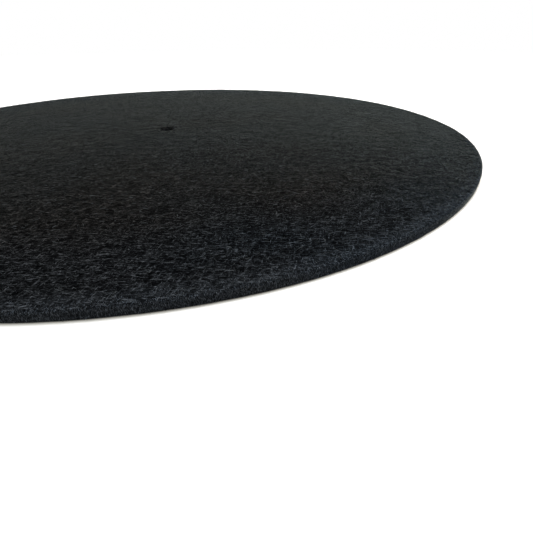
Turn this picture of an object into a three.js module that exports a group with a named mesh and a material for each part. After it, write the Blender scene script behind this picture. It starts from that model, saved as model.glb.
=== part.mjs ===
// Turntable platter mat: one round disc of thick black felt, die-cut in a single piece, with a punched hole in
// the middle for the record spindle. It lies loose on the platter, and the record lies on it.
// Millimetres, +Z up. The origin is the middle of the underside, on the axis of the spindle hole.

import * as THREE from 'three';

// The disc
const MAT_DIAMETER = 300;
const FELT_THICKNESS = 3;

// The spindle hole: the hole passes over a standard record spindle with room to drop on by itself
const SPINDLE_DIAMETER = 7.2;
const SPINDLE_CLEARANCE = 0.15; // all round

// The cut edges. The blade enters from above and drags the felt's top edge round, and leaves the lower edge crisper
const RIM_TOP_RADIUS = 0.6;
const RIM_UNDERSIDE_RADIUS = 0.3;
const HOLE_TOP_RADIUS = 0.4;
const HOLE_UNDERSIDE_RADIUS = 0.25;
const LEAST_STRAIGHT_SHARE = 0.2; // of the thickness, between the two roundings of a cut edge

// How finely round forms are drawn
const TURN_STEPS = 144;
const HALF_EDGE_STEPS = 2;

const FELT_BLACK = 0x1e2022;
const FELT_ROUGHNESS = 0.95;

const rimRadius = MAT_DIAMETER / 2;
const holeRadius = SPINDLE_DIAMETER / 2 + SPINDLE_CLEARANCE;

// A pair of edge radii, one above the other, that together fit the thickness of the felt
function edgePair(top, underside) {
  const room = FELT_THICKNESS * (1 - LEAST_STRAIGHT_SHARE);
  const share = Math.min(1, room / (top + underside));
  return { top: top * share, underside: underside * share };
}

// The felt's section from the hole's wall to the rim, as a closed outline: x is the radius and y the height
function feltSection() {
  const rim = edgePair(RIM_TOP_RADIUS, RIM_UNDERSIDE_RADIUS);
  const hole = edgePair(HOLE_TOP_RADIUS, HOLE_UNDERSIDE_RADIUS);
  const quarter = Math.PI / 2;
  const outline = new THREE.Path();
  outline.absarc(holeRadius + hole.underside, hole.underside, hole.underside, 2 * quarter, 3 * quarter);
  outline.absarc(rimRadius - rim.underside, rim.underside, rim.underside, 3 * quarter, 4 * quarter);
  outline.absarc(rimRadius - rim.top, FELT_THICKNESS - rim.top, rim.top, 0, quarter);
  outline.absarc(holeRadius + hole.top, FELT_THICKNESS - hole.top, hole.top, quarter, 2 * quarter);
  outline.closePath();
  return outline.getPoints(HALF_EDGE_STEPS);
}

// The whole mat: the section turned about the spindle's axis
function feltMat() {
  const geometry = new THREE.LatheGeometry(feltSection(), TURN_STEPS);
  const material = new THREE.MeshStandardMaterial({
    color: FELT_BLACK,
    roughness: FELT_ROUGHNESS,
    metalness: 0,
  });
  const mesh = new THREE.Mesh(geometry, material);
  mesh.name = 'felt_mat';
  mesh.rotation.x = Math.PI / 2; // a lathe turns about Y, and the mat's axis is Z
  return mesh;
}

const platterMat = new THREE.Group();
platterMat.name = 'turntable_platter_mat';
platterMat.add(feltMat());

export default platterMat;
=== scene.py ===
# Looks of a turntable platter mat: a round sheet of thick black needled felt with a punched spindle hole.
# Metres, +Z up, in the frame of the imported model. The mat lies with its underside on the floor at z = 0.

import math

import bpy
import numpy as np
from mathutils import Matrix, Vector


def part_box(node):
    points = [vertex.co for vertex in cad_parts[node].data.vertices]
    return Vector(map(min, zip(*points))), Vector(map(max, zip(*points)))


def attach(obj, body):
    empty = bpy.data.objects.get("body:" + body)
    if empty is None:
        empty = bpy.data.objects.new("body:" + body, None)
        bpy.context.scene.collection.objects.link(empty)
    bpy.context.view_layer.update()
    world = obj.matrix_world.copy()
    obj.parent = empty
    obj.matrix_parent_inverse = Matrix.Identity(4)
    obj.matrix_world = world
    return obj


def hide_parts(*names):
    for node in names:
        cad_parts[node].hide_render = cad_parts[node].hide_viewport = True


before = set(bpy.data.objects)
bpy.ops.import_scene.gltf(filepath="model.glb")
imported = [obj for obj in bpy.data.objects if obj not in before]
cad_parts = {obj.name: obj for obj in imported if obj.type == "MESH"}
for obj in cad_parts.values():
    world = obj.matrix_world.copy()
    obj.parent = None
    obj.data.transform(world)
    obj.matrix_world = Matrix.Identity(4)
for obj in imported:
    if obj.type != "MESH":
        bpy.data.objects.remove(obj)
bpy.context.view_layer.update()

MM = 0.001
NODE = "felt_mat"

# The mat's own sizes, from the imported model
NODE_LOW, NODE_HIGH = (Vector(corner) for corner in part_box(NODE))
THICKNESS = NODE_HIGH.z - NODE_LOW.z
RIM_RADIUS = (NODE_HIGH.x - NODE_LOW.x) / 2
HOLE_RADIUS = min(math.hypot(v.co.x, v.co.y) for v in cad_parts[NODE].data.vertices)

# The camera, fitted to the rim's outline and the spindle hole
PICTURE_PIXELS = 533
FOCAL_PIXELS = 365.4
SENSOR_WIDTH = 36.0
CAMERA_BACK = 1.3971 * RIM_RADIUS
CAMERA_HEIGHT = 0.3136 * RIM_RADIUS
CAMERA_YAW = math.radians(14.40)
CAMERA_PITCH = math.radians(33.02)
CAMERA_ROLL = math.radians(-0.58)
NEAREST_SEEN = 10 * MM

# The cut edges of the felt
RIM_TOP_EDGE = 0.6 * MM
RIM_UNDER_EDGE = 0.3 * MM
HOLE_TOP_EDGE = 0.4 * MM
HOLE_UNDER_EDGE = 0.25 * MM
UNDERSIDE_LIFT = 0.06 * MM  # the sheet's skin stands on its lowest fibres

# The felt's relief: each kind of lump has a height and a width
SHEET_WAVES = (0.08 * MM, 52 * MM)
SHEET_RIPPLES = (0.04 * MM, 13 * MM)
FACE_CLUMPS = (0.04 * MM, 4.6 * MM)
FACE_TUFTS = (0.05 * MM, 2.1 * MM)
WALL_WAVES = (0.04 * MM, 17 * MM)
WALL_CLUMPS = (0.03 * MM, 3.7 * MM)
WALL_TUFTS = (0.04 * MM, 1.7 * MM)
UNDERSIDE_CLUMPS = (0.04 * MM, 6 * MM)
NOISE_CELLS = 512  # along each side of a table of noise, before it repeats

# Seeds of what is random. A relief takes one more for each further kind of lump, and fibres for each piece
FACE_SEED = 11
WALL_SEED = 21
UNDERSIDE_SEED = 31
GRAIN_SEED = 41
FACE_FIBRE_SEED = 100
RIM_FUZZ_SEED = 201
HOLE_FUZZ_SEED = 202
RIM_NAP_SEED = 203

# Mesh steps of the sheet's skin
FACE_STEP = 1.1 * MM
EDGE_STEP = 0.75 * MM
UNDER_STEP = 3.0 * MM
EDGE_ZONE = 6 * MM
ARC_RINGS = 5
WALL_RINGS = 6
LEAST_ROUND = 60  # points round the smallest ring

# The skin's UV map: the face and its two walls lie in one corner, and the underside in the opposite one
UV_MAP = "OFBake"
FACE_CHART_CENTRE = 0.405
FACE_CHART_RADIUS = 0.400
UNDER_CHART_CENTRE = 0.820
UNDER_CHART_RADIUS = 0.170
HOLE_WALL_SHARE = 0.9  # of its height, so that the hole's wall stays clear of the chart's middle

# The mesh and the UV map of a fibre
SPINE_POINTS = 5
TUBE_SIDES = 3
SHADE_COLUMNS = 16
COLUMN_REACH = 0.3  # of a column's width, on both sides of its middle
FIBRE_V_ENDS = (0.05, 0.95)
LEAST_SIDE = 1e-6  # keeps an upright fibre's sideways direction from a division by 0

# The fibres that lie loose in the felt's face. A spread is the two shape values of a beta distribution
FACE_FIBRE_PIECES = 3
FIBRES_PER_PIECE = 10300
FIBRE_LENGTHS = (0.6 * MM, 3.6 * MM)
FIBRE_LENGTH_SPREAD = (1.2, 2.6)
FIBRE_RADII = (0.025 * MM, 0.055 * MM)
FIBRE_RISE = 0.20 * MM
FIBRE_RISE_SPREAD = (1.0, 3.0)
FIBRE_LEAST_RISE = 0.02 * MM
FIBRE_DIP = 0.05 * MM
FIBRE_TURN = 0.4  # how far a fibre bends along its way, in radians
FIBRES_FROM_HOLE = 0.6 * MM
FIBRES_FROM_RIM = 0.5 * MM

# The way the fibres lie
GRAIN_HEADING = math.radians(-13)
GRAIN_SPREAD = math.radians(21)
GRAIN_SHARE = 0.8  # of the fibres follow the grain, and the rest lie anyhow
GRAIN_DRIFT = math.radians(24)  # how far the grain wanders from place to place
GRAIN_DRIFT_CELL = 9 * MM

# The shades of loose fibres, from 0 for black to 1 for pale grey
PALE_SHARE = 0.05  # of the fibres are pale
PALE_SHADES = (0.7, 1.0)
DARK_SHADE_SPREAD = (1.3, 3.2)
# A painted highlight: paler nap over the rim's rounded top edge
CREST_HIGHLIGHT_SPREAD = (2.8, 1.3)
NAP_SHADE_SPREAD = (1.9, 2.1)
TOP_SHADE = 0.999  # keeps the palest fibre in the last column

# The fibres that the blade dragged over the rim's top edge
RIM_NAP_COUNT = 11000
RIM_NAP_LENGTHS = (0.3 * MM, 1.0 * MM)
RIM_NAP_INSET = 5.0 * MM
RIM_NAP_INSET_SPREAD = (1.0, 2.2)
RIM_NAP_DROP = 0.9 * MM
RIM_NAP_FACE_SHARE = 0.5  # of them start on the face, and the rest on the wall
RIM_NAP_SWING = 0.45  # how far a fibre slants along the rim, as a share of its length
RIM_NAP_BOW = 0.16  # how far it bows, as a share of its length
RIM_NAP_LIFTS = (0.01 * MM, 0.10 * MM)
NAP_RADII = (0.022 * MM, 0.050 * MM)
# The paler nap there is a painted highlight along the rim's rounded top edge
CREST_HIGHLIGHT_REACH = 0.5 * MM  # where the nap is palest, about the start of the rim's rounding

# The short fuzz of the cut edges
RIM_FUZZ_COUNT = 3000
HOLE_FUZZ_COUNT = 150
FUZZ_LENGTHS = (0.5 * MM, 1.8 * MM)
FUZZ_RADII = (0.018 * MM, 0.036 * MM)
FUZZ_ROOT = 0.05 * MM  # how deep in the felt a fibre starts
FUZZ_BARE_FOOT = 0.35 * MM  # the lowest part of a wall, which has no fuzz
FUZZ_HEIGHT_SPREAD = (1.0, 1.8)
FUZZ_LEAN = 0.9  # how far it leans along the edge, in radians
FUZZ_LIFT = (0.15, 0.55)  # mean and deviation of its climb, as a share of its length
FUZZ_REACH = (0.35, 0.22)  # mean and deviation of how far it stands out
FUZZ_LEAST_REACH = 0.08
FUZZ_CURL = 0.62  # of a half turn, by which it bends back along the wall
FUZZ_HEADROOM = 0.35 * MM

# The felt's crossing fibres: streaks of a length and a width, in layers with these headings
FINE_HEADINGS = [math.radians(degrees) for degrees in (-36, -21, -10, 4, 74)]
FINE_STREAK = (1.35 * MM, 0.20 * MM)
FINE_SHARE = 0.55  # of the web's height, and the tufts have the rest
TUFT_HEADINGS = [math.radians(degrees) for degrees in (-26, -15, -4, 60)]
TUFT_STREAK = (4.0 * MM, 0.42 * MM)
WALL_STREAK = (0.16 * MM, 0.16 * MM, 0.6 * MM)
WALL_CONTRAST = 0.42
WALL_BASE = 0.399
STEEP_FROM, STEEP_TO = 0.85, 0.35  # the upright part of the surface's direction, on a face and on a wall
CURL = 0.5 * MM
CURL_CELL = 3.5 * MM

# Where the felt changes: towards its rim, as distances from it, and towards its sides, from its middle line
# The first band is painted cool light: over it the face grows lighter and bluer towards the rim
PAINTED_LIGHT_BAND = (40 * MM, 12 * MM)
RAISED_BAND = (7.5 * MM, 0.5 * MM)
# The wall band gives the cut wall the edge colours, whose paleness there is partly painted light
WALL_BAND = (0.8 * MM, 0.3 * MM)
SIDE_BAND = (0.35 * RIM_RADIUS, 0.80 * RIM_RADIUS)

# The felt's colours, over the height of its web
FACE_SHADES = [
    (0.560, (0.0007, 0.0008, 0.0009)),
    (0.620, (0.0110, 0.0114, 0.0119)),
    (0.690, (0.0890, 0.0920, 0.0960)),
    (0.770, (0.2250, 0.2330, 0.2420)),
]
# Colours of the raised nap and the cut wall: paler than the face for the nap, and bluer as painted cool
# light. On the cut wall their paleness is partly painted light too
EDGE_SHADES = [
    (0.560, (0.0042, 0.0051, 0.0063)),
    (0.620, (0.0285, 0.0345, 0.0425)),
    (0.690, (0.1210, 0.1440, 0.1750)),
    (0.770, (0.2750, 0.3200, 0.3850)),
]
NO_TINT = (1.0, 1.0, 1.0)
# Painted cool light near the rim: lighter and bluer at the mat's two sides, and only a little bluer at its
# two ends
SIDE_PAINTED_LIGHT = (1.09, 1.23, 1.40)
END_PAINTED_LIGHT = (0.87, 0.98, 1.12)
PATCH_CELL = 60 * MM
WARM_PATCH = (0.38, (1.05, 0.97, 0.92))
COOL_PATCH = (0.62, (0.99, 1.01, 1.03))

# The loose fibres' colours, over their shade
FIBRE_SHADES = [
    (0.00, (0.0035, 0.0035, 0.0035)),
    (0.30, (0.0205, 0.0205, 0.0205)),
    (0.60, (0.0870, 0.0870, 0.0870)),
    (1.00, (0.2350, 0.2350, 0.2350)),
]
FACE_FIBRE_TINT = (0.92, 1.0, 1.08)
# The edge fibres' stronger blue is painted cool light
EDGE_FIBRE_PAINTED_COOL_TINT = (0.83, 1.0, 1.26)
# Painted shade where a fibre's ends sink into the felt
ENTRY_PAINTED_SHADE = 0.5  # how dark a fibre's ends are, where they enter the felt
ENTRY_REACH = 0.3  # of a fibre's length, at both ends

# Finish
FELT_ROUGHNESS = (1.0, 0.82)  # between the fibres and on them
FELT_BUMP_STRENGTH = 0.3
FELT_BUMP_HEIGHT = 0.9 * MM
FELT_SHEEN = 0.74
FELT_SHEEN_TINT = (0.93, 1.0, 0.96)
FIBRE_ROUGHNESS = 0.75
FIBRE_SHEEN = 0.46
FIBRE_SHEEN_TINT = (0.92, 0.98, 1.0)
SHEEN_ROUGHNESS = 0.148

# Studio
WORLD_LIGHT = 0.22
FLOOR_RADIUS = 0.9
FLOOR_PAPER = (0.80, 0.79, 0.77)
FLOOR_GLOW = 0.78
# A painted contact shadow in the floor's white: it darkens by how closed in the floor is within this reach
CONTACT_SHADE_REACH = 1.08 * MM
CONTACT_SHADES = [
    (0.40, (0.10, 0.095, 0.08)),
    (0.70, (0.50, 0.48, 0.42)),
    (0.94, (1.0, 1.0, 1.0)),
]

# The Mix node has one set of sockets for each kind of value
MIX_NUMBERS = (2, 3)
MIX_NUMBER = 0
MIX_COLOURS = (6, 7)
MIX_COLOUR = 2


def eased(share):
    """A share from 0 to 1 that starts and ends gently."""
    return share * share * (3 - 2 * share)


def smooth_noise(x, y, cell, seed):
    """Smooth noise from -1 to 1 over a plane, with lumps about one cell across."""
    table = np.random.default_rng(seed).uniform(-1, 1, (NOISE_CELLS, NOISE_CELLS))
    across = np.asarray(x) / cell
    along = np.asarray(y) / cell
    column = np.floor(across).astype(int)
    row = np.floor(along).astype(int)
    right = eased(across - column)
    up = eased(along - row)
    near, far = column % NOISE_CELLS, (column + 1) % NOISE_CELLS
    low, high = row % NOISE_CELLS, (row + 1) % NOISE_CELLS
    below = table[near, low] * (1 - right) + table[far, low] * right
    above = table[near, high] * (1 - right) + table[far, high] * right
    return below * (1 - up) + above * up


def layered_relief(x, y, lumps, first_seed):
    """Lumps of several kinds on top of each other."""
    relief = 0.0
    for index, (height, width) in enumerate(lumps):
        relief = relief + height * smooth_noise(x, y, width, first_seed + index)
    return relief


def face_relief(x, y):
    """How far the upper face stands above or below its mean height."""
    return layered_relief(x, y, (SHEET_WAVES, SHEET_RIPPLES, FACE_CLUMPS, FACE_TUFTS), FACE_SEED)


def wall_relief(angle, height):
    """How far the cut wall of the rim stands out or in."""
    return layered_relief(angle * RIM_RADIUS, height, (WALL_WAVES, WALL_CLUMPS, WALL_TUFTS), WALL_SEED)


def underside_relief(x, y):
    """How far the underside stands above or below its mean height, apart from what the face has."""
    return layered_relief(x, y, (UNDERSIDE_CLUMPS,), UNDERSIDE_SEED)


def mesh_object(name, points, faces, corner_uvs):
    """A smooth-shaded object of triangles, from its points, its faces and a UV place for each corner."""
    data = bpy.data.meshes.new(name)
    corners = np.asarray(faces, np.int32).ravel()
    data.vertices.add(len(points))
    data.vertices.foreach_set("co", np.asarray(points, np.float32).ravel())
    data.loops.add(len(corners))
    data.loops.foreach_set("vertex_index", corners)
    data.polygons.add(len(faces))
    data.polygons.foreach_set("loop_start", np.arange(0, len(corners), 3, dtype=np.int32))
    data.polygons.foreach_set("use_smooth", np.ones(len(faces), bool))
    data.update(calc_edges=True)
    layer = data.uv_layers.new(name=UV_MAP)
    layer.data.foreach_set("uv", np.asarray(corner_uvs, np.float32).ravel())
    obj = bpy.data.objects.new(name, data)
    bpy.context.scene.collection.objects.link(obj)
    return obj


# The sheet's skin


def arc(centre_r, centre_z, radius, start_deg, end_deg):
    """Points of a cut edge's rounding, as (radius, height)."""
    angles = np.radians(np.linspace(start_deg, end_deg, ARC_RINGS))
    return [(centre_r + radius * math.cos(a), centre_z + radius * math.sin(a)) for a in angles]


def step_at(radius, step):
    """The mesh step at this radius: finer near the hole and the rim."""
    nearness = min(radius - HOLE_RADIUS, RIM_RADIUS - radius) / EDGE_ZONE
    return EDGE_STEP + (step - EDGE_STEP) * min(1.0, max(0.0, nearness))


def face_radii(inner, outer, step):
    """Radii of the rings that cover a flat face, without its own two edges."""
    radii = [inner]
    while radii[-1] < outer:
        radii.append(radii[-1] + step_at(radii[-1], step))
    stretch = (outer - inner) / (radii[-1] - inner)
    return [inner + (r - inner) * stretch for r in radii[1:-1]]


def section_rings():
    """The rings that the skin runs through, once round the sheet's section, as (radius, height, part)."""
    low, top = UNDERSIDE_LIFT, THICKNESS
    hole = arc(HOLE_RADIUS + HOLE_UNDER_EDGE, low + HOLE_UNDER_EDGE, HOLE_UNDER_EDGE, 270, 180)
    hole += arc(HOLE_RADIUS + HOLE_TOP_EDGE, top - HOLE_TOP_EDGE, HOLE_TOP_EDGE, 180, 90)
    rim = arc(RIM_RADIUS - RIM_TOP_EDGE, top - RIM_TOP_EDGE, RIM_TOP_EDGE, 90, 0)
    wall = np.linspace(top - RIM_TOP_EDGE, low + RIM_UNDER_EDGE, WALL_RINGS)[1:-1]
    rim += [(RIM_RADIUS, z) for z in wall]
    rim += arc(RIM_RADIUS - RIM_UNDER_EDGE, low + RIM_UNDER_EDGE, RIM_UNDER_EDGE, 0, -90)
    face = face_radii(HOLE_RADIUS + HOLE_TOP_EDGE, RIM_RADIUS - RIM_TOP_EDGE, FACE_STEP)
    under = face_radii(HOLE_RADIUS + HOLE_UNDER_EDGE, RIM_RADIUS - RIM_UNDER_EDGE, UNDER_STEP)
    rings = [(r, z, "hole") for r, z in hole]
    rings += [(r, top, "face") for r in face]
    rings += [(r, z, "rim") for r, z in rim]
    rings += [(r, low, "under") for r in reversed(under)]
    return rings


def ring_count(radius, part):
    """How many points go round a ring."""
    step = UNDER_STEP if part == "under" else FACE_STEP
    return max(LEAST_ROUND, round(2 * math.pi * radius / step_at(radius, step)))


def ring_points(radius, height, part, count):
    """The points of one ring, with the felt's relief in them. The face's relief fades down the walls."""
    angle = np.arange(count) * 2 * math.pi / count
    out = wall_relief(angle, height) if part == "rim" else 0.0
    x = (radius + out) * np.cos(angle)
    y = (radius + out) * np.sin(angle)
    share = (height - UNDERSIDE_LIFT) / (THICKNESS - UNDERSIDE_LIFT)
    z = height + face_relief(x, y) * share**2
    if part == "under":
        z = z + underside_relief(x, y)
    return np.stack([x, y, z], 1)


def face_chart(radius, height, part, count):
    """A ring's places on the face's chart, with the hole's wall inside the face and the rim's outside."""
    wall = THICKNESS - height
    reach = radius + {"hole": -HOLE_WALL_SHARE * wall, "face": 0.0, "rim": wall, "under": 0.0}[part]
    return round_chart(FACE_CHART_CENTRE, FACE_CHART_RADIUS * reach / (RIM_RADIUS + THICKNESS), count)


def under_chart(radius, count):
    """A ring's places on the underside's chart."""
    return round_chart(UNDER_CHART_CENTRE, UNDER_CHART_RADIUS * radius / RIM_RADIUS, count)


def round_chart(centre, reach, count):
    """Places evenly round a circle of the UV map."""
    angle = np.arange(count) * 2 * math.pi / count
    return np.stack([centre + reach * np.cos(angle), centre + reach * np.sin(angle)], 1)


def stitch(first, first_count, second, second_count):
    """The triangles between two neighbouring rings, which may have different counts."""
    faces = []
    i = j = 0
    while i < first_count or j < second_count:
        a, b = first + i % first_count, second + j % second_count
        first_is_behind = (i + 1) * second_count <= (j + 1) * first_count and i < first_count
        if first_is_behind or j == second_count:
            i += 1
            faces.append((a, b, first + i % first_count))
        else:
            j += 1
            faces.append((a, b, second + j % second_count))
    return np.array(faces)


def felt_body():
    """The felt sheet: one closed skin over its face, rim, underside and hole."""
    rings = section_rings()
    counts = [ring_count(radius, part) for radius, height, part in rings]
    starts = [sum(counts[:k]) for k in range(len(counts))]
    points = np.concatenate([ring_points(*ring, count) for ring, count in zip(rings, counts)])
    face_uvs = np.concatenate([face_chart(*ring, count) for ring, count in zip(rings, counts)])
    under_uvs = np.concatenate([under_chart(ring[0], count) for ring, count in zip(rings, counts)])
    faces, uvs = [], []
    for k in range(len(rings)):
        band = stitch(starts[k - 1], counts[k - 1], starts[k], counts[k])
        below = "under" in (rings[k - 1][2], rings[k][2])
        faces.append(band)
        uvs.append((under_uvs if below else face_uvs)[band.ravel()])
    return mesh_object("felt_body", points, np.concatenate(faces), np.concatenate(uvs))


# The fibres


def tube_faces(count):
    """The triangles of many closed tubes that run to a point at both ends, as (count * faces, 3)."""
    rings = SPINE_POINTS - 2
    per_tube = 2 + rings * TUBE_SIDES
    faces = []
    for side in range(TUBE_SIDES):
        after = (side + 1) % TUBE_SIDES
        faces.append((0, 1 + after, 1 + side))
        for ring in range(rings - 1):
            low, high = 1 + ring * TUBE_SIDES, 1 + (ring + 1) * TUBE_SIDES
            faces.append((low + side, low + after, high + after))
            faces.append((low + side, high + after, high + side))
        last = 1 + (rings - 1) * TUBE_SIDES
        faces.append((per_tube - 1, last + side, last + after))
    offsets = np.arange(count)[:, None, None] * per_tube
    return (np.array(faces)[None] + offsets).reshape(-1, 3)


def tube_points(spines, radii):
    """The points of many tubes: each spine's two ends, and a ring round each of its points between them."""
    along = np.gradient(spines, axis=1)
    along /= np.linalg.norm(along, axis=2, keepdims=True)
    side = np.cross(along, (0.0, 0.0, 1.0))
    side /= np.maximum(np.linalg.norm(side, axis=2, keepdims=True), LEAST_SIDE)
    up = np.cross(side, along)
    turns = math.pi / 2 + np.arange(TUBE_SIDES) * 2 * math.pi / TUBE_SIDES
    ring = side[:, :, None] * np.cos(turns)[:, None] + up[:, :, None] * np.sin(turns)[:, None]
    skin = spines[:, :, None] + ring * radii[:, None, None, None]
    body = skin[:, 1:-1].reshape(len(spines), -1, 3)
    return np.concatenate([spines[:, :1], body, spines[:, -1:]], 1).reshape(-1, 3)


def tube_uvs(shades):
    """The UV place of each point of many tubes: U is the column of its shade, and V runs along the tube."""
    rings = SPINE_POINTS - 2
    column = (np.floor(shades * SHADE_COLUMNS) + 0.5) / SHADE_COLUMNS
    ring_across = np.linspace(-COLUMN_REACH, COLUMN_REACH, TUBE_SIDES)
    across = np.concatenate([[0.0], np.tile(ring_across, rings), [0.0]])
    v = np.repeat(np.linspace(*FIBRE_V_ENDS, SPINE_POINTS), [1] + [TUBE_SIDES] * rings + [1])
    return np.stack(np.broadcast_arrays(column[:, None] + across / SHADE_COLUMNS, v), 2).reshape(-1, 2)


def tubes(name, spines, radii, shades):
    """One piece of many thin closed fibres."""
    faces = tube_faces(len(spines))
    return mesh_object(name, tube_points(spines, radii), faces, tube_uvs(shades)[faces.ravel()])


def curved_paths(rng, count, lengths, turn):
    """Flat curved paths about the origin, along x: the x and y of each spine point."""
    t = np.linspace(-0.5, 0.5, SPINE_POINTS)
    one_way = rng.normal(0, turn, (count, 1)) * t
    both_ways = rng.normal(0, turn / 2, (count, 1)) * np.sin(2 * math.pi * t)
    bend = one_way + both_ways
    step = lengths[:, None] / (SPINE_POINTS - 1)
    x = np.cumsum(np.cos(bend) * step, 1)
    y = np.cumsum(np.sin(bend) * step, 1)
    return x - x.mean(1, keepdims=True), y - y.mean(1, keepdims=True)


def felt_shades(rng, count):
    """A shade from 0 to 1 for each fibre: most are dark, and a few are pale."""
    is_pale = rng.random(count) < PALE_SHARE
    pale = rng.uniform(*PALE_SHADES, count)
    dark = rng.beta(*DARK_SHADE_SPREAD, count)
    return np.clip(np.where(is_pale, pale, dark), 0, TOP_SHADE)


def grain_headings(rng, x, y):
    """A heading for each fibre: most follow the grain, which wanders a little, and the rest lie anyhow."""
    count = len(x)
    drift = GRAIN_DRIFT * smooth_noise(x, y, GRAIN_DRIFT_CELL, GRAIN_SEED)
    grain = GRAIN_HEADING + drift + rng.normal(0, GRAIN_SPREAD, count)
    follows = rng.random(count) < GRAIN_SHARE
    return np.where(follows, grain, rng.uniform(0, math.pi, count))[:, None]


def face_fibres(index):
    """Loose fibres in the upper face: each comes out of the felt, runs over it and goes in again."""
    rng = np.random.default_rng(FACE_FIBRE_SEED + index)
    count = FIBRES_PER_PIECE
    inner = HOLE_RADIUS + FIBRES_FROM_HOLE
    outer = RIM_RADIUS - FIBRES_FROM_RIM
    radius = np.sqrt(rng.uniform(inner**2, outer**2, count))
    angle = rng.uniform(0, 2 * math.pi, count)
    shortest, longest = FIBRE_LENGTHS
    lengths = shortest + (longest - shortest) * rng.beta(*FIBRE_LENGTH_SPREAD, count)
    path_x, path_y = curved_paths(rng, count, lengths, FIBRE_TURN)
    centre_x = radius * np.cos(angle)
    centre_y = radius * np.sin(angle)
    heading = grain_headings(rng, centre_x, centre_y)
    x = centre_x[:, None] + path_x * np.cos(heading) - path_y * np.sin(heading)
    y = centre_y[:, None] + path_x * np.sin(heading) + path_y * np.cos(heading)
    reach = np.hypot(x, y)
    keep = np.clip(reach, inner, outer) / reach
    x, y = x * keep, y * keep
    arch = np.sin(math.pi * np.linspace(0, 1, SPINE_POINTS))
    rise = FIBRE_RISE * rng.beta(*FIBRE_RISE_SPREAD, (count, 1)) + FIBRE_LEAST_RISE
    z = THICKNESS + face_relief(x, y) + rise * arch - FIBRE_DIP * (1 - arch)
    radii = rng.uniform(*FIBRE_RADII, count)
    return tubes(f"face_fibres_{index + 1}", np.stack([x, y, z], 2), radii, felt_shades(rng, count))


def over_the_edge(run, lift):
    """The radius and height after a run outwards from where the rim's top edge starts to turn down."""
    quarter = RIM_TOP_EDGE * math.pi / 2
    turn = np.clip(run / quarter, 0, 1) * math.pi / 2
    edge = RIM_TOP_EDGE + lift
    radius = RIM_RADIUS - RIM_TOP_EDGE + edge * np.sin(turn) + np.minimum(run, 0)
    height = THICKNESS - RIM_TOP_EDGE + edge * np.cos(turn) - np.maximum(run - quarter, 0)
    return radius, height


def rim_nap():
    """Fibres that lie over the rounded top edge of the rim, from the face down onto the cut wall."""
    rng = np.random.default_rng(RIM_NAP_SEED)
    count = RIM_NAP_COUNT
    angle = rng.uniform(0, 2 * math.pi, count)
    lengths = rng.uniform(*RIM_NAP_LENGTHS, count)
    on_face = -RIM_NAP_INSET * rng.beta(*RIM_NAP_INSET_SPREAD, count)
    on_wall = rng.uniform(0, RIM_NAP_DROP, count)
    start = np.where(rng.random(count) < RIM_NAP_FACE_SHARE, on_face, on_wall)
    t = np.linspace(0, 1, SPINE_POINTS)
    run = start[:, None] + lengths[:, None] * t
    swing = lengths[:, None] * t * rng.normal(0, RIM_NAP_SWING, (count, 1))
    bow = RIM_NAP_BOW * lengths[:, None] * np.sin(math.pi * t) * rng.normal(0, 1, (count, 1))
    lift = (rng.uniform(*RIM_NAP_LIFTS, (count, 1)) + FIBRE_DIP) * np.sin(math.pi * t) - FIBRE_DIP
    radius, height = over_the_edge(run, lift)
    bearing = angle[:, None] + (swing + bow) / RIM_RADIUS
    x = radius * np.cos(bearing)
    y = radius * np.sin(bearing)
    z = np.maximum(height + face_relief(x, y) * (height / THICKNESS) ** 2, 2 * UNDERSIDE_LIFT)
    radii = rng.uniform(*NAP_RADII, count)
    # Paler fibres over the rim's rounded top edge: a painted highlight
    crest_highlight_shades = rng.beta(*CREST_HIGHLIGHT_SPREAD, count)
    other_shades = rng.beta(*NAP_SHADE_SPREAD, count)
    shades = np.clip(np.where(np.abs(start) < CREST_HIGHLIGHT_REACH, crest_highlight_shades, other_shades), 0, TOP_SHADE)
    return tubes("rim_nap", np.stack([x, y, z], 2), radii, shades)


def edge_fuzz(name, edge_radius, outward, count, top_edge, seed):
    """Short fibres that stand out of a cut edge, all round it: from its wall and its rounded top."""
    rng = np.random.default_rng(seed)
    angle = rng.uniform(0, 2 * math.pi, count)
    lengths = rng.uniform(*FUZZ_LENGTHS, count)
    fuzzy_height = THICKNESS - FUZZ_ROOT - FUZZ_BARE_FOOT
    height = THICKNESS - FUZZ_ROOT - fuzzy_height * rng.beta(*FUZZ_HEIGHT_SPREAD, count)
    inset = np.maximum(0, height - (THICKNESS - top_edge))
    start = edge_radius - outward * (FUZZ_ROOT + inset**2 / top_edge)
    t = np.linspace(0, 1, SPINE_POINTS)
    lean = rng.normal(0, FUZZ_LEAN, count)
    lift = rng.normal(*FUZZ_LIFT, count)
    out = np.abs(rng.normal(*FUZZ_REACH, count)) + FUZZ_LEAST_REACH
    swing = lengths[:, None] * t * np.sin(lean)[:, None]
    reach = lengths[:, None] * out[:, None] * np.sin(t * math.pi * FUZZ_CURL) * FUZZ_CURL
    rise = lengths[:, None] * t * lift[:, None]
    radius = start[:, None] + outward * reach
    turn = angle[:, None] + swing / edge_radius
    z = np.clip(height[:, None] + rise, UNDERSIDE_LIFT, THICKNESS + FUZZ_HEADROOM)
    spines = np.stack([radius * np.cos(turn), radius * np.sin(turn), z], 2)
    return tubes(name, spines, rng.uniform(*FUZZ_RADII, count), felt_shades(rng, count))


# Material nodes


def new_material(name):
    """A new material with a Principled shader: itself, its node tree and the shader."""
    material = bpy.data.materials.new(name)
    material.use_nodes = True
    tree = material.node_tree
    return material, tree, tree.nodes["Principled BSDF"]


def add_node(tree, kind, **values):
    """A new node, with its inputs or properties set by name."""
    node = tree.nodes.new(kind)
    for name, value in values.items():
        if name in node.inputs:
            node.inputs[name].default_value = value
        else:
            setattr(node, name, value)
    return node


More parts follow.
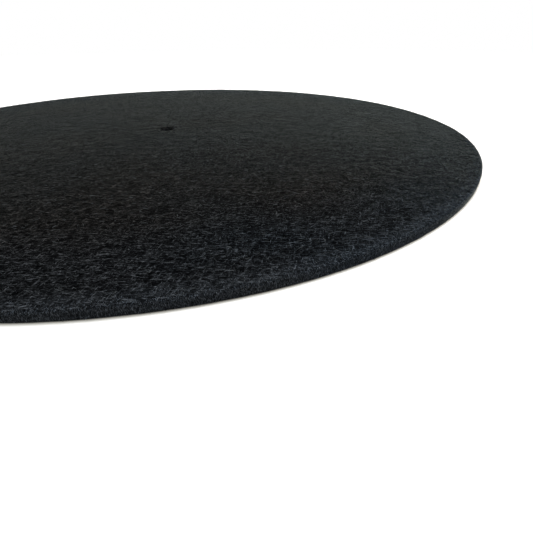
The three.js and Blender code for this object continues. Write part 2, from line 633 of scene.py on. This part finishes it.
def ramp_node(tree, factor, stops):
    """A colour ramp over factor, with stops of (place, colour)."""
    node = tree.nodes.new("ShaderNodeValToRGB")
    elements = node.color_ramp.elements
    while len(elements) < len(stops):
        elements.new(0.5)
    for element, (place, colour) in zip(elements, stops):
        element.position = place
        element.color = (*colour, 1.0)
    tree.links.new(factor, node.inputs["Fac"])
    return node.outputs["Color"]


def math_node(tree, operation, first, second=0.0):
    """A Math node of two values, each a socket or a number."""
    node = add_node(tree, "ShaderNodeMath", operation=operation)
    for socket, value in zip(node.inputs, (first, second)):
        if isinstance(value, (int, float)):
            socket.default_value = value
        else:
            tree.links.new(value, socket)
    return node.outputs[0]


def map_range(tree, value, start=0.0, end=1.0, low=0.0, high=1.0, kind="LINEAR"):
    """A value that runs from low to high while the given one runs from start to end."""
    node = add_node(tree, "ShaderNodeMapRange", interpolation_type=kind)
    node.inputs["From Min"].default_value = start
    node.inputs["From Max"].default_value = end
    node.inputs["To Min"].default_value = low
    node.inputs["To Max"].default_value = high
    tree.links.new(value, node.inputs["Value"])
    return node.outputs[0]


def blended(tree, share, first, second):
    """One colour that gives way to another."""
    mix = add_node(tree, "ShaderNodeMix", data_type="RGBA")
    tree.links.new(share, mix.inputs["Factor"])
    for index, colour in zip(MIX_COLOURS, (first, second)):
        tree.links.new(colour, mix.inputs[index])
    return mix.outputs[MIX_COLOUR]


def multiplied(tree, colour, tint):
    """One colour times another."""
    mix = add_node(tree, "ShaderNodeMix", data_type="RGBA", blend_type="MULTIPLY", Factor=1.0)
    for index, factor in zip(MIX_COLOURS, (colour, tint)):
        tree.links.new(factor, mix.inputs[index])
    return mix.outputs[MIX_COLOUR]


def noise_at(tree, vector, scale, detail, roughness=0.5):
    """Noise from 0 to 1 over a vector."""
    node = add_node(tree, "ShaderNodeTexNoise", Scale=scale, Detail=detail, Roughness=roughness)
    tree.links.new(vector, node.inputs["Vector"])
    return node


# The felt's material


def curled_place(tree, place, amount, cell):
    """The place on the object, shifted to and fro by about amount, so that what is laid over it curls."""
    noise = noise_at(tree, place, 1 / cell, detail=1.0)
    centred = add_node(tree, "ShaderNodeVectorMath", operation="SUBTRACT")
    centred.inputs[1].default_value = (0.5, 0.5, 0.5)
    tree.links.new(noise.outputs["Color"], centred.inputs[0])
    shift = add_node(tree, "ShaderNodeVectorMath", operation="MULTIPLY_ADD")
    shift.inputs[1].default_value = (2 * amount,) * 3
    tree.links.new(centred.outputs[0], shift.inputs[0])
    tree.links.new(place, shift.inputs[2])
    return shift.outputs[0]


def streaks(tree, place, heading, size):
    """Streaks of this size along one heading, from 0 between them to 1 on them."""
    mapping = add_node(tree, "ShaderNodeMapping", vector_type="TEXTURE")
    mapping.inputs["Rotation"].default_value = (0, 0, heading)
    mapping.inputs["Scale"].default_value = size
    tree.links.new(place, mapping.inputs["Vector"])
    return noise_at(tree, mapping.outputs[0], 1.0, detail=2.0, roughness=0.6).outputs["Fac"]


def crossing_fibres(tree, place, headings, streak):
    """Fibres that lie flat and cross: the highest of several layers of streaks at every point."""
    length, width = streak
    web = None
    for heading in headings:
        layer = streaks(tree, place, heading, (length, width, width))
        web = layer if web is None else math_node(tree, "MAXIMUM", web, layer)
    return web


def steepness(tree):
    """0 on the flat faces and 1 on the cut walls."""
    parts = tree.nodes.new("ShaderNodeSeparateXYZ")
    tree.links.new(tree.nodes.new("ShaderNodeNewGeometry").outputs["Normal"], parts.inputs[0])
    upright = math_node(tree, "ABSOLUTE", parts.outputs["Z"])
    return map_range(tree, upright, STEEP_FROM, STEEP_TO, kind="SMOOTHSTEP")


def felt_web(tree, place):
    """All the felt's fibres: crossing ones in its faces, and upright ones where its walls are cut."""
    fine = crossing_fibres(tree, place, FINE_HEADINGS, FINE_STREAK)
    fine = math_node(tree, "MULTIPLY", fine, FINE_SHARE)
    tufts = crossing_fibres(tree, place, TUFT_HEADINGS, TUFT_STREAK)
    tufts = math_node(tree, "MULTIPLY", tufts, 1 - FINE_SHARE)
    flat = math_node(tree, "ADD", fine, tufts)
    upright = math_node(tree, "MULTIPLY", streaks(tree, place, 0.0, WALL_STREAK), WALL_CONTRAST)
    upright = math_node(tree, "ADD", upright, WALL_BASE)
    mix = tree.nodes.new("ShaderNodeMix")
    tree.links.new(steepness(tree), mix.inputs["Factor"])
    for index, web in zip(MIX_NUMBERS, (flat, upright)):
        tree.links.new(web, mix.inputs[index])
    return mix.outputs[MIX_NUMBER]


def near_rim(tree, place, band):
    """0 on most of the felt and 1 at its rim, with the change over a band of distances from the rim."""
    distance = add_node(tree, "ShaderNodeVectorMath", operation="LENGTH")
    tree.links.new(place, distance.inputs[0])
    start, end = (RIM_RADIUS - from_rim for from_rim in band)
    return map_range(tree, distance.outputs["Value"], start, end, kind="SMOOTHSTEP")


def along_sides(tree, place):
    """1 at the mat's two sides, where the rim runs along the grain, and 0 at its two ends."""
    across = add_node(tree, "ShaderNodeVectorMath", operation="DOT_PRODUCT")
    across.inputs[1].default_value = (-math.sin(GRAIN_HEADING), math.cos(GRAIN_HEADING), 0.0)
    tree.links.new(place, across.inputs[0])
    from_middle = math_node(tree, "ABSOLUTE", across.outputs["Value"])
    return map_range(tree, from_middle, *SIDE_BAND, kind="SMOOTHSTEP")


def felt_shade(tree, place, web):
    """The felt's colour over its web: painted cool light makes its face lighter and bluer near the rim, and
    it is paler where its nap is raised and on its cut wall.
    """
    sides = along_sides(tree, place)
    outer = near_rim(tree, place, PAINTED_LIGHT_BAND)
    # Painted cool light: the face grows lighter and bluer towards the rim, more at its sides than at its
    # ends
    side_painted_light = ramp_node(tree, outer, [(0.0, NO_TINT), (1.0, SIDE_PAINTED_LIGHT)])
    end_painted_light = ramp_node(tree, outer, [(0.0, NO_TINT), (1.0, END_PAINTED_LIGHT)])
    tint = blended(tree, sides, end_painted_light, side_painted_light)
    face = multiplied(tree, ramp_node(tree, web, FACE_SHADES), tint)
    raised = math_node(tree, "MULTIPLY", near_rim(tree, place, RAISED_BAND), sides)
    # The cut wall takes the edge colours: partly its cut fibres, partly painted light
    raised = math_node(tree, "MAXIMUM", raised, near_rim(tree, place, WALL_BAND))
    return blended(tree, raised, face, ramp_node(tree, web, EDGE_SHADES))


def set_felt_finish(shader, sheen, tint):
    """What is the same all over the felt: no gloss, and the soft sheen of its fuzz."""
    shader.inputs["Specular IOR Level"].default_value = 0.0
    shader.inputs["Sheen Weight"].default_value = sheen
    shader.inputs["Sheen Roughness"].default_value = SHEEN_ROUGHNESS
    shader.inputs["Sheen Tint"].default_value = (*tint, 1.0)


def felt_material():
    """Black needled felt: dark between its fibres and grey along them, in warmer and cooler patches."""
    material, tree, shader = new_material("black_felt")
    place = tree.nodes.new("ShaderNodeTexCoord").outputs["Object"]
    web = felt_web(tree, curled_place(tree, place, CURL, CURL_CELL))
    patch = noise_at(tree, place, 1 / PATCH_CELL, detail=1.5, roughness=0.6).outputs["Fac"]
    tint = ramp_node(tree, patch, [WARM_PATCH, COOL_PATCH])
    tree.links.new(multiplied(tree, felt_shade(tree, place, web), tint), shader.inputs["Base Color"])
    between, on_fibres = FELT_ROUGHNESS
    tree.links.new(map_range(tree, web, low=between, high=on_fibres), shader.inputs["Roughness"])
    bump = add_node(tree, "ShaderNodeBump", Strength=FELT_BUMP_STRENGTH, Distance=FELT_BUMP_HEIGHT)
    tree.links.new(web, bump.inputs["Height"])
    tree.links.new(bump.outputs[0], shader.inputs["Normal"])
    set_felt_finish(shader, FELT_SHEEN, FELT_SHEEN_TINT)
    return material


def fibre_material(name, tint):
    """Single fibres: their shade is their column of the UV map, and their ends are darker, as painted shade
    where they sink into the felt.
    """
    material, tree, shader = new_material(name)
    uv = add_node(tree, "ShaderNodeUVMap", uv_map=UV_MAP)
    parts = tree.nodes.new("ShaderNodeSeparateXYZ")
    tree.links.new(uv.outputs[0], parts.inputs[0])
    shade = ramp_node(tree, parts.outputs["X"], FIBRE_SHADES)
    painted_entry_shade = tuple(ENTRY_PAINTED_SHADE * value for value in tint)
    # Painted shade: darker towards both ends, where the fibre sinks into the felt
    ends = ramp_node(
        tree,
        parts.outputs["Y"],
        [(0.0, painted_entry_shade), (ENTRY_REACH, tint), (1 - ENTRY_REACH, tint), (1.0, painted_entry_shade)],
    )
    tree.links.new(multiplied(tree, shade, ends), shader.inputs["Base Color"])
    shader.inputs["Roughness"].default_value = FIBRE_ROUGHNESS
    set_felt_finish(shader, FIBRE_SHEEN, FIBRE_SHEEN_TINT)
    return material


# Studio


def camera_only(tree):
    """1 for what the camera sees, also in a reflection or through glass, and 0 for light on surfaces."""
    path = tree.nodes.new("ShaderNodeLightPath")
    seen = math_node(tree, "ADD", path.outputs["Is Camera Ray"], path.outputs["Is Glossy Ray"])
    seen = math_node(tree, "ADD", seen, path.outputs["Is Transmission Ray"])
    return math_node(tree, "MINIMUM", seen, 1.0)


def studio_world():
    """Even soft light from all round, and a white background."""
    world = bpy.data.worlds.new("studio")
    world.use_nodes = True
    bpy.context.scene.world = world
    tree = world.node_tree
    background = tree.nodes["Background"]
    background.inputs["Color"].default_value = (1, 1, 1, 1)
    strength = map_range(tree, camera_only(tree), low=WORLD_LIGHT)
    tree.links.new(strength, background.inputs["Strength"])


def floor_material():
    """Lit paper, plus a white of its own for the camera, with a painted contact shadow that darkens it
    where the mat touches it.
    """
    material = bpy.data.materials.new("floor_white")
    material.use_nodes = True
    tree = material.node_tree
    tree.nodes.remove(tree.nodes["Principled BSDF"])
    lit = tree.nodes.new("ShaderNodeBsdfDiffuse")
    lit.inputs["Color"].default_value = (*FLOOR_PAPER, 1)
    openness = add_node(tree, "ShaderNodeAmbientOcclusion", samples=8, Distance=CONTACT_SHADE_REACH)
    glow = tree.nodes.new("ShaderNodeEmission")
    # Painted contact shadow: the camera's white darkens where the mat closes in the floor
    tree.links.new(ramp_node(tree, openness.outputs["AO"], CONTACT_SHADES), glow.inputs["Color"])
    tree.links.new(math_node(tree, "MULTIPLY", camera_only(tree), FLOOR_GLOW), glow.inputs["Strength"])
    both = tree.nodes.new("ShaderNodeAddShader")
    tree.links.new(lit.outputs[0], both.inputs[0])
    tree.links.new(glow.outputs[0], both.inputs[1])
    tree.links.new(both.outputs[0], tree.nodes["Material Output"].inputs["Surface"])
    return material


def studio_floor():
    """A plain white floor that keeps the mat's shadow, and has a painted contact shadow where the mat
    touches it.
    """
    bpy.ops.mesh.primitive_circle_add(vertices=96, radius=FLOOR_RADIUS, fill_type="NGON")
    floor = bpy.context.object
    floor.name = "studio_floor"
    floor.data.materials.append(floor_material())


def soft_light(name, place, target, size, power, colour):
    """A square soft lamp that faces the target."""
    data = bpy.data.lights.new(name, "AREA")
    data.shape = "SQUARE"
    data.size = size
    data.energy = power
    data.color = colour
    lamp = bpy.data.objects.new(name, data)
    bpy.context.scene.collection.objects.link(lamp)
    lamp.location = place
    lamp.rotation_euler = (Vector(target) - Vector(place)).to_track_quat("-Z", "Y").to_euler()


def studio_lights():
    """A small warm lamp above the mat's right side, and a large cooler one further off on its left."""
    soft_light(
        "key_light",
        place=(0.45, 0.10, 0.60),
        target=(0.05, 0, 0),
        size=0.40,
        power=4.9,
        colour=(1.0, 0.99, 0.95),
    )
    soft_light(
        "side_light",
        place=(-1.80, 0.0, 0.80),
        target=(0, 0, 0),
        size=1.0,
        power=15.0,
        colour=(0.92, 1.0, 0.97),
    )


def picture_camera():
    """The camera of the photograph."""
    forward = Vector((
        math.sin(CAMERA_YAW) * math.cos(CAMERA_PITCH),
        math.cos(CAMERA_YAW) * math.cos(CAMERA_PITCH),
        -math.sin(CAMERA_PITCH),
    ))
    right = Vector((math.cos(CAMERA_YAW), -math.sin(CAMERA_YAW), 0))
    up = right.cross(forward)
    rolled_right = right * math.cos(CAMERA_ROLL) + up * math.sin(CAMERA_ROLL)
    rolled_up = up * math.cos(CAMERA_ROLL) - right * math.sin(CAMERA_ROLL)
    data = bpy.data.cameras.new("picture_camera")
    data.sensor_width = SENSOR_WIDTH
    data.lens = FOCAL_PIXELS * SENSOR_WIDTH / PICTURE_PIXELS
    data.clip_start = NEAREST_SEEN
    camera = bpy.data.objects.new("picture_camera", data)
    bpy.context.scene.collection.objects.link(camera)
    turn = Matrix((rolled_right, rolled_up, -forward)).transposed().to_4x4()
    camera.matrix_world = Matrix.Translation((0, -CAMERA_BACK, CAMERA_HEIGHT)) @ turn
    bpy.context.scene.camera = camera


def dress_mat():
    """The felt sheet and its fibres, in place of the plain packed disc."""
    body = felt_body()
    body.data.materials.append(felt_material())
    face_pieces = [face_fibres(index) for index in range(FACE_FIBRE_PIECES)]
    edge_pieces = [
        rim_nap(),
        edge_fuzz("rim_fuzz", RIM_RADIUS, 1, RIM_FUZZ_COUNT, RIM_TOP_EDGE, RIM_FUZZ_SEED),
        edge_fuzz("hole_fuzz", HOLE_RADIUS, -1, HOLE_FUZZ_COUNT, HOLE_TOP_EDGE, HOLE_FUZZ_SEED),
    ]
    for pieces, material in (
        (face_pieces, fibre_material("face_fibre", FACE_FIBRE_TINT)),
        (edge_pieces, fibre_material("edge_fibre", EDGE_FIBRE_PAINTED_COOL_TINT)),
    ):
        for piece in pieces:
            piece.data.materials.append(material)
    fibres = face_pieces + edge_pieces
    for piece in [body] + fibres:
        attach(piece, "root")
    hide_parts(NODE)


dress_mat()
studio_world()
studio_floor()
studio_lights()
picture_camera()
bpy.context.scene.view_settings.view_transform = "Standard"
